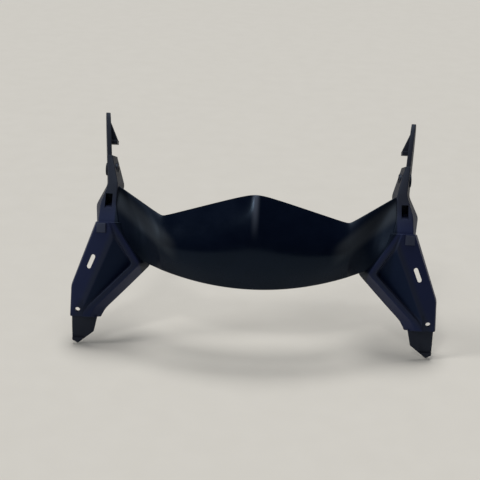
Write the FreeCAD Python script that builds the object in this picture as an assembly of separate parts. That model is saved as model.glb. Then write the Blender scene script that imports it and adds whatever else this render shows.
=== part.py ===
"""Headlight surround of a motorbike: one thin moulding that frames the lamp.

A crowned brow panel spans two splayed legs through twisted wings. Each leg is an open-backed
channel with a sunk triangular panel, a tab at its foot and a thin arm that runs up and back.

The moulding is drawn on its own face: u to the right, v up the face, w out of the face towards
the front. The right half is drawn and the left half is its mirror image. The finished face is then
raked back as it sits on the bike: +X right as seen from the front, +Y to the rear, +Z up. The
origin is midway between the two arm bores. Sizes are millimetres and degrees.
"""
import FreeCAD
import Part
import math
import os

from FreeCAD import Vector

# Moulding
WALL = 2.5
RAKE = 22.0
PAST = 20.0  # how far a cutter runs past what it cuts
PANEL_SPANS = 4
WING_SPANS = 3

# Brow panel, from the middle to the notch in its top edge
PANEL_HALF = 92.0
PEAK_V = 44.0
PEAK_ROUND = 10.0
TOP_SLOPE = 0.29
CHIN_V = -46.5
CHIN_RADIUS = 280.0
NOSE_W = 51.5
PANEL_END_W = 29.0
CROWN_AT = 0.45
TOP_LEAN = 7.5
CHIN_CURL = 21.5
CHIN_CURL_END = 15.0
RIDGE_FADE = 0.6
LIP_DEPTH = 6.0

# Wing, from the notch to the root of the arm
WING_WIDTH = 46.5
ROOT_V = 49.0
ROOT_W = 4.0
FOLD_W = 21.0
WING_TURN = 8.0
BAND_FROM = 0.1
CREASE_FROM = 0.45
CREASE_TO = 0.9
CREASE_GAIN = 1.2
POCKET_DIP = 6.0
POCKET_LOW = 0.85
FOLD_ROUND = 1.9

# Leg: heights down from the ledge at its top, widths out from the knee under the wing's root
LEDGE_V = 12.5
KNEE_DROP = 15.5
CROTCH_DROP = 25.0
BEND_DROP = 24.0
ANKLE_DROP = 46.0
FOOT_DROP = 9.0
STRIP_WIDTH = 27.8
CALF_SPREAD = 16.9
BACK_W = -2.0
STRIP_W = 24.0
STRIP_FALL = 0.15
STRIP_TILT = 5.0
OUTER_DRAFT = 12.0
FOLD_DRAFT = 6.0
INNER_DRAFT = 24.0
FOOT_DRAFT = 37.0

# Sunk triangle between knee, crotch and ankle, and the rim along its inner side
TRIANGLE_WIDTH = 17.0
CREASE_SPLAY = 22.5
LEDGE_SHIFT = 5.3
TRIANGLE_SINK = 11.0
TRIANGLE_EDGE = 2.0
TRIANGLE_BLUNT = 1.5
RIM_WIDTH = 7.0
RIM_STEP = 2.0
RIM_DROP = 1.0

# Pad, slot, screw seat and tab of the leg
PAD_SIZE = 9.5
PAD_RAISE = 1.2
PAD_ACROSS = 0.58
SLOT_LENGTH = 15.0
SLOT_WIDTH = 4.5
SLOT_FROM_CREASE = 11.5
SLOT_DROP = 31.0
SEAT_RISE = 23.0
SEAT_WALL = 3.0
SCREW_RISE = 7.0
SCREW_SET = 9.2
SCREW_R = 2.5
TAB_WALL = 3.0
TAB_W = 5.0
TAB_FALL = 0.27
TAB_LENGTH = 27.5
TAB_TIP_SET = 8.7
TAB_TIP_RISE = 3.0
TAB_INNER_LENGTH = 15.0
TAB_INNER_SET = 24.7

# Neck: the channel runs on up from the ledge past the wing's root
NECK_RISE = 17.5
NECK_ABOVE = 2.0
NECK_WIDTH = 24.0
NECK_BEVEL = 8.5
NECK_W = 15.5
NECK_BACK_W = -12.0
SOCKET_WIDTH = 7.0
SOCKET_HEIGHT = 12.0
SOCKET_DEPTH = 9.0
SOCKET_RISE = 3.0

# Arm: the channel narrows, then only its outer wall goes on as a blade
ARM_LENGTH = 29.0
ARM_WIDTH = 16.5
ARM_WALL = 2.0
ARM_FACE = 5.0
ARM_FRONT_W = 8.5
ARM_END_W = -4.0
ARM_BACK_W = -30.0
ARM_TOE = 10.2
ARM_LEAN = 3.5
BLADE_LENGTH = 44.0
BLADE_WALL = 4.5
BLADE_HEEL = 0.6
BLADE_BOW = (0.9, 0.4)
BLADE_SHOULDER = (0.85, 0.7)
TIP_W = -19.0
BORE_R = 3.25
BORE_WALL = 3.2
BORE_SET = 14.0
BORE_W = -12.0
BORE_NUB = 1.5
BORE_RING = 1.0
HOOK_SET = 14.0
HOOK_TIP_SET = 10.0
HOOK_REACH = 5.5
HOOK_WALL = 4.0
HOOK_DEPTH = 12.0

# Heights on the face that follow from these
knee_v = LEDGE_V - KNEE_DROP
crotch_v = knee_v - CROTCH_DROP
bend_v = crotch_v - BEND_DROP
ankle_v = crotch_v - ANKLE_DROP
foot_v = ankle_v - FOOT_DROP
neck_v = LEDGE_V + NECK_RISE
neck_top = ROOT_V + NECK_ABOVE
arm_v = neck_top + ARM_LENGTH
bore_v = arm_v - BORE_SET
hook_v = arm_v + HOOK_SET
tip_v = arm_v + BLADE_LENGTH

# Widths on the face that follow from these
root_u = PANEL_HALF + WING_WIDTH
knee_u = root_u
crotch_u = knee_u - TRIANGLE_WIDTH
ankle_u = knee_u + (knee_v - ankle_v) * math.tan(math.radians(CREASE_SPLAY))
shin_u = knee_u + STRIP_WIDTH
calf_u = shin_u + CALF_SPREAD
neck_u = root_u + NECK_WIDTH
fold_u = crotch_u - RIM_STEP - RIM_WIDTH


def lerp(a, b, t):
    return a + (b - a) * t


def ramp(x, *knots):
    """Straight stretches between (x, value) knots, level beyond the ends."""
    if x <= knots[0][0]:
        return knots[0][1]
    for (x0, y0), (x1, y1) in zip(knots, knots[1:]):
        if x <= x1:
            return lerp(y0, y1, (x - x0) / (x1 - x0))
    return knots[-1][1]


def smooth(t):
    t = min(max(t, 0.0), 1.0)
    return t * t * (3.0 - 2.0 * t)


def soft_max(a, b, k):
    """The larger of two lines, rounded over where they cross."""
    return 0.5 * (a + b + math.sqrt((a - b) ** 2 + 4.0 * k * k))


def tan(degrees):
    return math.tan(math.radians(degrees))


def on_face(u, v, w):
    return Vector(u, -w, v)


def outline(corners):
    return Part.makePolygon(corners + corners[:1])


# Brow panel and wing: one curved sheet w(u, t), with t from the top edge to the lower edge
def top_edge(u):
    """A blunt peak in the middle, falling to the notch, then rising to the root of the arm."""
    panel = PEAK_V - TOP_SLOPE * (math.hypot(min(u, PANEL_HALF), PEAK_ROUND) - PEAK_ROUND)
    return lerp(panel, ROOT_V, max(u - PANEL_HALF, 0.0) / WING_WIDTH)


def low_edge(u):
    """The chin's arc, then the fold between wing and leg, which runs beside the triangle."""
    chin = CHIN_V + u * u / (2.0 * CHIN_RADIUS)
    fold = lerp(crotch_v, LEDGE_V, (u - fold_u) / (root_u - fold_u))
    return soft_max(chin, fold, FOLD_ROUND) - WALL / 2


def crown(s, t):
    """How far the panel's section falls back from its highest line, above and below it."""
    if t < CROWN_AT:
        return -TOP_LEAN * (1.0 - t / CROWN_AT) ** 2
    curl = lerp(CHIN_CURL, CHIN_CURL_END, s * s)
    return -curl * ((t - CROWN_AT) / (1.0 - CROWN_AT)) ** 2


def ridge_power(t):
    """1 makes a crease down the middle of the panel, 2 a smooth crown."""
    return 1.0 + smooth(t / RIDGE_FADE)


def panel_w(s, t):
    return crown(s, t) + NOSE_W - (NOSE_W - PANEL_END_W) * s ** ridge_power(t)


def wing_w(r, t):
    """A cubic from the panel's end, creased low down, to the root and the fold, with a dip between."""
    start = panel_w(1.0, t)
    start_slope = -(NOSE_W - PANEL_END_W) * ridge_power(t) * WING_WIDTH / PANEL_HALF
    start_slope *= 1.0 + CREASE_GAIN * smooth((t - CREASE_FROM) / (CREASE_TO - CREASE_FROM))
    end = lerp(ROOT_W, FOLD_W, smooth((t - BAND_FROM) / (1.0 - BAND_FROM)))
    cubic = (
        (2 * r**3 - 3 * r**2 + 1) * start
        + (r**3 - 2 * r**2 + r) * start_slope
        + (3 * r**2 - 2 * r**3) * end
        - (r**3 - r**2) * WING_TURN
    )
    return cubic - POCKET_DIP * (math.sin(math.pi * r) * math.sin(math.pi * t**POCKET_LOW)) ** 2


def sheet_section(u):
    """Closed section across u: the front curve, the chin edge, the back curve and the top lip."""
    top = top_edge(u)
    low = low_edge(u)
    inner = top - WALL

    def front_w(v):
        t = (top - v) / (top - low)
        if u <= PANEL_HALF:
            return panel_w(u / PANEL_HALF, t)
        return wing_w((u - PANEL_HALF) / WING_WIDTH, t)

    def back_w(v):
        above = min(v + WALL / 4, top)
        below = max(v - WALL / 4, low)
        slope = (front_w(above) - front_w(below)) / (above - below)
        return front_w(v) - WALL * math.hypot(1.0, slope)

    def curve(height, start):
        shares = (0.0, 0.12, 0.28, 0.45, 0.6, 0.74, 0.87, 1.0)
        heights = [lerp(start, low, share) for share in shares]
        spline = Part.BSplineCurve()
        spline.interpolate(Points=[on_face(u, v, height(v)) for v in heights], Parameters=shares)
        return spline.toShape()

    lip_w = front_w(top) - LIP_DEPTH
    chin = Part.makePolygon([on_face(u, low, front_w(low)), on_face(u, low, back_w(low))])
    lip = Part.makePolygon([
        on_face(u, inner, back_w(inner)),
        on_face(u, inner, lip_w),
        on_face(u, top, lip_w),
        on_face(u, top, front_w(top)),
    ])
    edges = [curve(front_w, top)] + chin.Edges + [curve(back_w, inner)] + lip.Edges
    return Part.Wire(Part.__sortEdges__(edges))


def sheet_loft(u0, u1, spans):
    return Part.makeLoft([sheet_section(lerp(u0, u1, i / spans)) for i in range(spans + 1)], True)


panel = sheet_loft(0.0, PANEL_HALF, PANEL_SPANS)
wing = sheet_loft(PANEL_HALF, root_u + WALL / 2, WING_SPANS)
sheet = panel.fuse(wing)


# Leg: an open-backed channel, ruled between sections across v
def strip_w(v):
    return STRIP_W + STRIP_FALL * (v - knee_v)


def crease_u(v):
    return lerp(knee_u, ankle_u, (v - knee_v) / (ankle_v - knee_v))


def outer_u(v):
    """The outer edge splays down the shin and turns straight down at the bend."""
    return min(lerp(shin_u, calf_u, (v - knee_v) / (bend_v - knee_v)), calf_u)


def leg_profile(v):
    """Front of the channel, from the outer wall's back edge round to the inner wall's."""
    strip = strip_w(v)
    corner_w = strip - STRIP_TILT
    outer = outer_u(v)
    corner = outer - (corner_w - BACK_W) * tan(OUTER_DRAFT)
    floor = ramp(
        v,
        (foot_v, crease_u(foot_v) - TRIANGLE_BLUNT),
        (ankle_v, ankle_u - TRIANGLE_BLUNT),
        (crotch_v, crotch_u),
        (knee_v, knee_u - TRIANGLE_BLUNT),
        (LEDGE_V, knee_u - TRIANGLE_BLUNT + LEDGE_SHIFT),
    )
    crease = max(crease_u(v), floor + TRIANGLE_BLUNT)
    sink = ramp(
        v,
        (foot_v, TRIANGLE_EDGE / 2),
        (ankle_v, TRIANGLE_EDGE),
        (crotch_v, TRIANGLE_SINK),
        (knee_v, TRIANGLE_EDGE),
        (LEDGE_V, TRIANGLE_EDGE / 2),
    )
    rim_in = floor - RIM_STEP
    rim_out = rim_in - RIM_WIDTH
    rim_w = strip - RIM_DROP
    draft = ramp(v, (ankle_v, FOOT_DRAFT), (crotch_v, INNER_DRAFT), (knee_v, FOLD_DRAFT))
    inner_w = ramp(v, (crotch_v, BACK_W), (knee_v, ROOT_W))
    inner = rim_out - (rim_w - RIM_DROP - inner_w) * tan(draft)
    return [
        (outer, BACK_W),
        (corner, corner_w),
        (crease, strip),
        (floor, strip - sink),
        (rim_in, rim_w),
        (rim_out, rim_w - RIM_DROP),
        (inner, inner_w),
    ]


def inset(profile, wall):
    """The profile moved inwards by the wall, with its two ends run on out of the open back."""
    lines = []
    for (u0, w0), (u1, w1) in zip(profile, profile[1:]):
        size = math.hypot(u1 - u0, w1 - w0)
        lines.append(((u1 - u0) / size, (w1 - w0) / size))
    normals = [(-dw, du) for du, dw in lines]
    moved = []
    for i, (u, w) in enumerate(profile):
        n0 = normals[max(i - 1, 0)]
        n1 = normals[min(i, len(normals) - 1)]
        share = wall / (1.0 + n0[0] * n1[0] + n0[1] * n1[1])
        moved.append((u + share * (n0[0] + n1[0]), w + share * (n0[1] + n1[1])))
    (u0, w0), (u1, w1) = moved[0], moved[-1]
    reach = 4 * wall
    moved[0] = (u0 - reach * lines[0][0], w0 - reach * lines[0][1])
    moved[-1] = (u1 + reach * lines[-1][0], w1 + reach * lines[-1][1])
    return moved


def ruled(sections):
    """A solid ruled between closed sections, each a height v and its (u, w) corners."""
    wires = [outline([on_face(u, v, w) for u, w in corners]) for v, corners in sections]
    return Part.makeLoft(wires, True, True)


between = [knee_v, crotch_v, bend_v, ankle_v]
leg_mass = ruled([(v, leg_profile(v)) for v in [LEDGE_V] + between + [foot_v]])
core_heights = [LEDGE_V - WALL] + between + [foot_v + WALL]
leg_core = ruled([(v, inset(leg_profile(v), WALL)) for v in core_heights])


# Neck and arm channel
def arm_u(v, w):
    """The plane of the arm's outer face, leaning out up the arm and toeing in to the front."""
    return root_u + ARM_WIDTH + (v - ROOT_V) * tan(ARM_LEAN) - (w - ARM_BACK_W) * tan(ARM_TOE)


step = WALL / 2
outer, corner, _, _, _, rim, inner = leg_profile(LEDGE_V)
face_u = arm_u(arm_v, ARM_END_W) - ARM_FACE
neck_profiles = [
    (LEDGE_V, [
        (outer[0] - step, outer[1]),
        (corner[0] - step, corner[1] - step),
        (rim[0] + step, rim[1] - step),
        (inner[0] + step, inner[1] - step),
    ]),
    (neck_v, [
        (neck_u, NECK_BACK_W),
        (neck_u - NECK_BEVEL, NECK_W),
        (root_u, NECK_W),
        (root_u - step / 2, NECK_BACK_W + step),
    ]),
    (neck_top, [
        (arm_u(neck_top, ARM_BACK_W), ARM_BACK_W),
        (arm_u(neck_top, ARM_FRONT_W), ARM_FRONT_W),
        (root_u, ARM_FRONT_W + step),
        (root_u - step, ARM_BACK_W + step),
    ]),
    (arm_v, [
        (arm_u(arm_v, ARM_BACK_W), ARM_BACK_W),
        (arm_u(arm_v, ARM_END_W), ARM_END_W),
        (face_u, ARM_END_W),
        (face_u - step, ARM_BACK_W + step),
    ]),
]
neck_mass = ruled(neck_profiles)
core_heights = [LEDGE_V - 2 * WALL, neck_v, neck_top, arm_v - ARM_WALL]
neck_core = ruled([(v, inset(profile, ARM_WALL)) for v, (_, profile) in zip(core_heights, neck_profiles)])


# Blade above the channel, with a rounded heel
def on_arm(v, w):
    return on_face(arm_u(v, w), v, w)


start = on_arm(arm_v, ARM_BACK_W)
heel = on_arm(lerp(arm_v, tip_v, BLADE_HEEL), ARM_BACK_W)
bow = on_arm(lerp(arm_v, tip_v, BLADE_BOW[0]), lerp(ARM_BACK_W, TIP_W, BLADE_BOW[1]))
tip = on_arm(tip_v, TIP_W)
shoulder = on_arm(lerp(arm_v, tip_v, BLADE_SHOULDER[0]), lerp(ARM_END_W, TIP_W, BLADE_SHOULDER[1]))
toe = on_arm(arm_v, ARM_END_W)
blade_edge = Part.makePolygon([tip, shoulder, toe, start, heel])
blade_wire = Part.Wire(blade_edge.Edges + [Part.Arc(heel, bow, tip).toShape()])
blade = Part.Face(blade_wire).extrude(Vector(-BLADE_WALL, 0, 0))

# Hook on the inside of the blade: a short shelf under a tapering web
hook_u = arm_u(hook_v, BORE_W) - BLADE_WALL - HOOK_REACH
hook_in = arm_u(hook_v, TIP_W) - BLADE_WALL / 2
hook_top = tip_v - HOOK_TIP_SET
hook_low = hook_v - HOOK_WALL / 2
hook_high = hook_v + HOOK_WALL / 2
web_u = arm_u(hook_top, TIP_W) - BLADE_WALL
web = [(hook_in, hook_low), (hook_u, hook_low), (hook_u, hook_high), (web_u, hook_top),
       (web_u + BLADE_WALL / 2, hook_top)]
hook_web = Part.Face(outline([on_face(u, v, TIP_W) for u, v in web]))
hook_web = hook_web.extrude(on_face(0, 0, -HOOK_WALL))
hook_shelf = Part.makeBox(
    hook_in - hook_u, HOOK_DEPTH, HOOK_WALL, on_face(hook_u, hook_low, TIP_W + HOOK_WALL))

# Bore tube through the arm channel, from a short nub inside it to a low ring outside it
bore_out = arm_u(bore_v, BORE_W) + BORE_RING
bore_in = lerp(root_u, face_u, (bore_v - neck_top) / ARM_LENGTH) - BORE_NUB
tube = Part.makeCylinder(
    BORE_R + BORE_WALL, bore_out - bore_in, on_face(bore_in, bore_v, BORE_W), Vector(1, 0, 0))
bore = Part.makeCylinder(
    BORE_R, bore_out - bore_in + 2 * PAST, on_face(bore_in - PAST, bore_v, BORE_W), Vector(1, 0, 0))

# Tab under the foot, one flat plate that falls to the rear
foot = leg_profile(foot_v)
tab_in = foot[-1][0] + WALL
tab_out = foot[1][0] - WALL / 2
tab_root = foot_v + WALL / 2
tab_tip = foot_v - TAB_LENGTH
tab_edge = [
    (tab_in, tab_root),
    (calf_u - TAB_INNER_SET, foot_v - TAB_INNER_LENGTH),
    (calf_u - TAB_TIP_SET, tab_tip),
    (tab_out, tab_tip + TAB_TIP_RISE),
    (tab_out, tab_root),
]
tab = Part.Face(outline([on_face(u, v, TAB_W + TAB_FALL * (v - foot_v)) for u, v in tab_edge]))
tab = tab.extrude(on_face(0, 0, -TAB_WALL))

# Pad at the top of the strip
pad_top = LEDGE_V - step
pad_low = pad_top - PAD_SIZE
pad_mid = leg_profile(pad_top - PAD_SIZE / 2)
pad_u = lerp(pad_mid[2][0], pad_mid[1][0], PAD_ACROSS)


def pad_section(v):
    _, corner, crease = leg_profile(v)[:3]
    sides = (pad_u - PAD_SIZE / 2, pad_u + PAD_SIZE / 2)
    strip = [lerp(crease[1], corner[1], (u - crease[0]) / (corner[0] - crease[0])) for u in sides]
    front = [(u, w + PAD_RAISE) for u, w in zip(sides, strip)]
    return v, front + [(u, w - WALL / 2) for u, w in zip(reversed(sides), reversed(strip))]


pad = ruled([pad_section(pad_top), pad_section(pad_low)])

# Slot through the strip, alongside the crease
straight = Vector(0, 0, (SLOT_LENGTH - SLOT_WIDTH) / 2)
end = Vector(0, 0, SLOT_LENGTH / 2)
side = Vector(SLOT_WIDTH / 2, 0, 0)
slot_wire = Part.Wire([
    Part.makeLine(-side - straight, -side + straight),
    Part.Arc(straight - side, end, straight + side).toShape(),
    Part.makeLine(side + straight, side - straight),
    Part.Arc(side - straight, -end, -side - straight).toShape(),
])
slot = Part.Face(slot_wire).extrude(Vector(0, STRIP_W + PAST, 0))
slot.translate(on_face(SLOT_FROM_CREASE, -SLOT_DROP, STRIP_W + PAST))
slot.rotate(Vector(0, 0, 0), Vector(0, 1, 0), -CREASE_SPLAY)
slot.translate(on_face(knee_u, knee_v, 0))

# The half moulding, still on its face
shell = sheet.fuse([leg_mass, neck_mass]).cut(leg_core.fuse(neck_core))
half = shell.fuse([blade, hook_web, hook_shelf, tube, tab, pad]).cut([bore, slot])

# Raked back on the bike, with the bore axis as the origin
bike = FreeCAD.Placement(Vector(), FreeCAD.Rotation(Vector(1, 0, 0), -RAKE))
bike = bike * FreeCAD.Placement(-on_face(0, bore_v, BORE_W), FreeCAD.Rotation())
half.Placement = bike
leg_mass.Placement = bike
neck_mass.Placement = bike

# Screw seat: the foot is faced off square to the bike, with a floor behind the face
seat_v = foot_v + SEAT_RISE
seat_top = bike.multVec(on_face(ankle_u, seat_v, strip_w(seat_v)))
seat_low = bike.multVec(on_face(ankle_u, foot_v, BACK_W)).z - PAST
seat_width = calf_u - ankle_u + PAST
seat_height = seat_top.z - seat_low + PAST
seat_corner = Vector(ankle_u, seat_top.y, seat_low)
facing = Part.makeBox(seat_width, 2 * PAST, seat_height, seat_corner - Vector(0, 2 * PAST, 0))
floor = Part.makeBox(seat_width + WALL, SEAT_WALL, seat_height, seat_corner - Vector(WALL, 0, 0))
screw_v = foot_v + SCREW_RISE
screw_w = strip_w(seat_v) - (seat_v - screw_v) * tan(RAKE)
screw_at = bike.multVec(on_face(calf_u - SCREW_SET, screw_v, screw_w))
screw = Part.makeCylinder(SCREW_R, 2 * PAST, screw_at - Vector(0, PAST, 0), Vector(0, 1, 0))

# Clip socket: a blind pocket from the front, in a block that stands inside the neck
socket_u = root_u + (NECK_WIDTH - NECK_BEVEL) / 2
socket_at = bike.multVec(on_face(socket_u, neck_v + SOCKET_RISE, NECK_W))
reach = SOCKET_DEPTH + SOCKET_HEIGHT / 2
pocket_corner = socket_at - Vector(SOCKET_WIDTH / 2, reach, SOCKET_HEIGHT / 2)
socket = Part.makeBox(SOCKET_WIDTH, 2 * reach, SOCKET_HEIGHT, pocket_corner)
block = Part.makeBox(
    SOCKET_WIDTH + 2 * ARM_WALL, 2 * reach + ARM_WALL, SOCKET_HEIGHT + 2 * ARM_WALL,
    pocket_corner - Vector(ARM_WALL, 0, ARM_WALL))

half = half.cut(facing).fuse([leg_mass.common(floor), neck_mass.common(block)]).cut([screw, socket])
surround = half.fuse(half.mirror(Vector(0, 0, 0), Vector(1, 0, 0))).removeSplitter()

os.makedirs("parts", exist_ok=True)
surround.exportStep("parts/headlight_surround.step")
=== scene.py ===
# %% [markdown]
# # A moulded headlight surround
# This lesson dresses one thin plastic moulding: the surround that frames a motorbike's headlamp.
# The solid model gives its frame and its size. Here the same forms are worked out again as smooth
# surfaces with rounded edges, joined into one closed skin, and given a dark gloss finish.

# %% Load the frame and note its size
import math

import bmesh
import bpy
import numpy as np
from mathutils import Matrix, Vector


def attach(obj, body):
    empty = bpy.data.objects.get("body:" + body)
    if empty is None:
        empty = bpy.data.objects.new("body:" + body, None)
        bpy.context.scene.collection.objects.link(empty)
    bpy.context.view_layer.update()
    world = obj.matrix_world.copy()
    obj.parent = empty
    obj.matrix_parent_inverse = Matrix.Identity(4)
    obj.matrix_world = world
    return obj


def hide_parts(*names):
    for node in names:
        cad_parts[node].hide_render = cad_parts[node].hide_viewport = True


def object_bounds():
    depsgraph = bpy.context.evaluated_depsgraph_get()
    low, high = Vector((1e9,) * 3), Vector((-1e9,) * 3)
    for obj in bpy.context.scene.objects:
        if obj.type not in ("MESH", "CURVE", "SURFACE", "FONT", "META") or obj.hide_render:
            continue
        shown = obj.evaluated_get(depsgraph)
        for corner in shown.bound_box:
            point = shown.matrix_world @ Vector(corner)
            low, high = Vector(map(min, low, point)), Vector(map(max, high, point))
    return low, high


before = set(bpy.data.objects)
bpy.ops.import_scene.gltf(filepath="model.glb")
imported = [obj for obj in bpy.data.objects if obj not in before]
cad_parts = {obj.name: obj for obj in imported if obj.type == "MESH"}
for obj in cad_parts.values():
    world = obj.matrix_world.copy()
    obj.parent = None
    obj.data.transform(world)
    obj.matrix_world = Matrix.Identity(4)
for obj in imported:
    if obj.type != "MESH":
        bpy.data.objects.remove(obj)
cad_bounds = [list(corner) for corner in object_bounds()]
print("solid model reaches", cad_bounds)

# %% [markdown]
# ## Where the camera stands
# The photograph looks down at the surround from the front, a little to one side and with a slight
# tilt. A camera is a point, a direction and a roll. Building its three axes by hand keeps all three
# readable, where a look-at constraint would hide the roll.

# %% Camera
MM = 0.001
CAMERA_TURN = math.radians(2.0)
CAMERA_RISE = math.radians(22.57)
CAMERA_ROLL = math.radians(1.62)
CAMERA_AWAY = 1076.5 * MM
LOOK_AT = Vector((-15.3, -30.0, -59.3)) * MM
IMAGE_PIXELS = 480
PIXELS_PER_MM = 0.994

towards = Vector((
    math.sin(CAMERA_TURN) * math.cos(CAMERA_RISE),
    -math.cos(CAMERA_TURN) * math.cos(CAMERA_RISE),
    math.sin(CAMERA_RISE),
))
level = Vector((math.cos(CAMERA_TURN), math.sin(CAMERA_TURN), 0.0))
upright = towards.cross(level)
right = level * math.cos(CAMERA_ROLL) + upright * math.sin(CAMERA_ROLL)
up = upright * math.cos(CAMERA_ROLL) - level * math.sin(CAMERA_ROLL)

camera_data = bpy.data.cameras.new("camera")
camera_data.sensor_fit = "HORIZONTAL"
camera_data.angle = 2.0 * math.atan(IMAGE_PIXELS / PIXELS_PER_MM * MM / 2.0 / CAMERA_AWAY)
camera = bpy.data.objects.new("camera", camera_data)
camera.matrix_world = Matrix.Translation(LOOK_AT + towards * CAMERA_AWAY) @ Matrix(
    (right, up, towards)).transposed().to_4x4()
bpy.context.scene.collection.objects.link(camera)
bpy.context.scene.camera = camera
print("camera field of view", round(math.degrees(camera_data.angle), 1), "degrees")

# %% [markdown]
# ## The face's own directions
# The surround is raked back on the bike, so its forms are easiest to give on its face: u to the
# right, v up the face and w out of it, in millimetres. One function turns such points into the bike's
# frame, with the arm bores as origin. Turning the finished object would be as easy, but a piece keeps
# its place in its mesh here, so that patterns on it stay put.

# %% Face to bike
RAKE = math.radians(22.0)
BORE_V = 66.0
BORE_W = -12.0


def to_bike(face):
    """Metres in the bike's frame of (u, v, w) millimetres on the face, turned back by the rake."""
    u, v, w = np.moveaxis(np.asarray(face, float), -1, 0)
    v = v - BORE_V
    w = w - BORE_W
    y = v * math.sin(RAKE) - w * math.cos(RAKE)
    z = v * math.cos(RAKE) + w * math.sin(RAKE)
    return np.stack([u, y, z], axis=-1) * MM


print("face's own origin lies at", to_bike((0.0, 0.0, 0.0)).round(4), "m")

# %% [markdown]
# ## Shapes from rings
# Every solid of the skin is a stack of closed rings with a cap at each end, as a potter's coils make
# a pot. Numpy works out all points of a stack at once. Blender's own extrude and bridge steps would
# need one edit after another, and would not show the formula behind the shape.


# %% Rings to solids
def ring_faces(rows, count, first):
    """Quads between neighbouring rings of `count` points, numbered from `first`, and two caps."""
    start = first + np.arange(rows - 1)[:, None] * count
    here = start + np.arange(count)
    after = start + (np.arange(count) + 1) % count
    quads = np.stack([here, after, after + count, here + count], axis=-1)
    near = first + np.arange(count)
    far = near + (rows - 1) * count
    return quads.reshape(-1, 4).tolist() + [near[::-1].tolist(), far.tolist()]


def ring_volume(rings):
    """Six times the volume inside a stack of rings, negative where it is inside out."""
    a = rings[:-1]
    b = np.roll(rings, -1, axis=1)[:-1]
    c = np.roll(rings, -1, axis=1)[1:]
    d = rings[1:]
    walls = (np.cross(a, b) * c).sum() + (np.cross(a, c) * d).sum()
    for end, turn in ((rings[0], -1.0), (rings[-1], 1.0)):
        middle = end.mean(axis=0)
        walls += turn * (np.cross(end, np.roll(end, -1, axis=0)) * middle).sum()
    return walls


def solid(name, *stacks):
    """One mesh object of closed solids, each a (rings, points, 3) array in metres."""
    points, faces = [], []
    for rings in stacks:
        if ring_volume(rings - rings.mean(axis=(0, 1))) < 0.0:
            rings = rings[::-1]
        first = sum(len(part) for part in points)
        faces += ring_faces(*rings.shape[:2], first)
        points.append(rings.reshape(-1, 3))
    mesh = bpy.data.meshes.new(name)
    mesh.from_pydata(np.concatenate(points).tolist(), [], faces)
    mesh.update()
    made = bpy.data.objects.new(name, mesh)
    bpy.context.scene.collection.objects.link(made)
    return made


def both_sides(name, *stacks):
    """The solids of the right half together with their mirror images."""
    mirror = np.array([-1.0, 1.0, 1.0])
    return solid(name, *stacks, *[rings * mirror for rings in stacks])


print("ring tools ready")

# %% [markdown]
# ## The outline of the sheet
# The front of the surround is one sheet, crowned like a brow and twisted back through two wings. Along
# its top a blunt peak falls to a notch on each side and rises again to the arms. Below, the chin's arc
# runs into the straight folds where wings and legs meet. A smooth maximum of two lines rounds the
# corner between them, where a drawn curve would need handles set by eye.

# %% Edges of the sheet
WALL = 2.5
PANEL_HALF = 92.0
WING_WIDTH = 46.5
PEAK_V = 44.0
PEAK_ROUND = 10.0
TOP_SLOPE = 0.29
NOTCH_ROUND = 1.2
CHIN_V = -46.5
CHIN_RADIUS = 280.0
ROOT_U = PANEL_HALF + WING_WIDTH
ROOT_V = 49.0
LEDGE_V = 12.5
CROTCH_V = -28.0
FOLD_U = 112.5
FOLD_ROUND = 1.9


def lerp(a, b, t):
    """The value a share t of the way from a to b."""
    return a + (b - a) * t


def soft_max(a, b, k):
    """The larger of two lines, rounded over where they cross."""
    return 0.5 * (a + b + np.sqrt((a - b) ** 2 + 4.0 * k * k))


def top_edge(u):
    """A blunt peak in the middle, falling to the notch, then rising to the root of the arm."""
    panel = PEAK_V - TOP_SLOPE * (np.hypot(u, PEAK_ROUND) - PEAK_ROUND)
    notch = PEAK_V - TOP_SLOPE * (np.hypot(PANEL_HALF, PEAK_ROUND) - PEAK_ROUND)
    return soft_max(panel, lerp(notch, ROOT_V, (u - PANEL_HALF) / WING_WIDTH), NOTCH_ROUND)


def low_edge(u):
    """The chin's arc, then the straight fold between wing and leg."""
    chin = CHIN_V + u * u / (2.0 * CHIN_RADIUS)
    fold = lerp(CROTCH_V, LEDGE_V, (u - FOLD_U) / (ROOT_U - FOLD_U))
    return soft_max(chin, fold, FOLD_ROUND) - WALL / 2


print("sheet spans", 2 * ROOT_U, "mm between the arms")

# %% [markdown]
# ## The brow panel
# The panel stands out furthest in the middle, and a crease at its top fades out towards the chin. Its
# height w is a formula in s, the share of the way to the panel's end, and t, the share of the way from
# the top edge to the lower edge. A power of s that grows from 1 to 2 makes the crease fade. A sculpted
# or subdivided mesh would be harder to keep true to the solid.

# %% Brow panel
NOSE_W = 51.5
PANEL_END_W = 29.0
CROWN_AT = 0.45
TOP_LEAN = 7.5
CHIN_CURL = 21.5
CHIN_CURL_END = 15.0
RIDGE_FADE = 0.8
RIDGE_ROUND = 0.035


def smooth(t):
    """An eased step from 0 to 1: three squares less two cubes."""
    share = np.clip(t, 0.0, 1.0)
    return share * share * (3.0 - 2.0 * share)


def ridge_power(t):
    """1 makes a crease down the middle, 2 a smooth crown, with an eased change between them."""
    return 1.0 + smooth(t / RIDGE_FADE)


def panel_w(s, t):
    """The nose's height, less a crown falling to both edges, less s to the ridge's power."""
    curl = lerp(CHIN_CURL, CHIN_CURL_END, s * s)
    above = TOP_LEAN * np.clip(1.0 - t / CROWN_AT, 0.0, None) ** 2
    below = curl * np.clip((t - CROWN_AT) / (1.0 - CROWN_AT), 0.0, None) ** 2
    out = np.hypot(s, RIDGE_ROUND) - RIDGE_ROUND
    return NOSE_W - above - below - (NOSE_W - PANEL_END_W) * out ** ridge_power(t)


print("panel stands", NOSE_W - PANEL_END_W, "mm prouder in the middle than at its ends")

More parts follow.
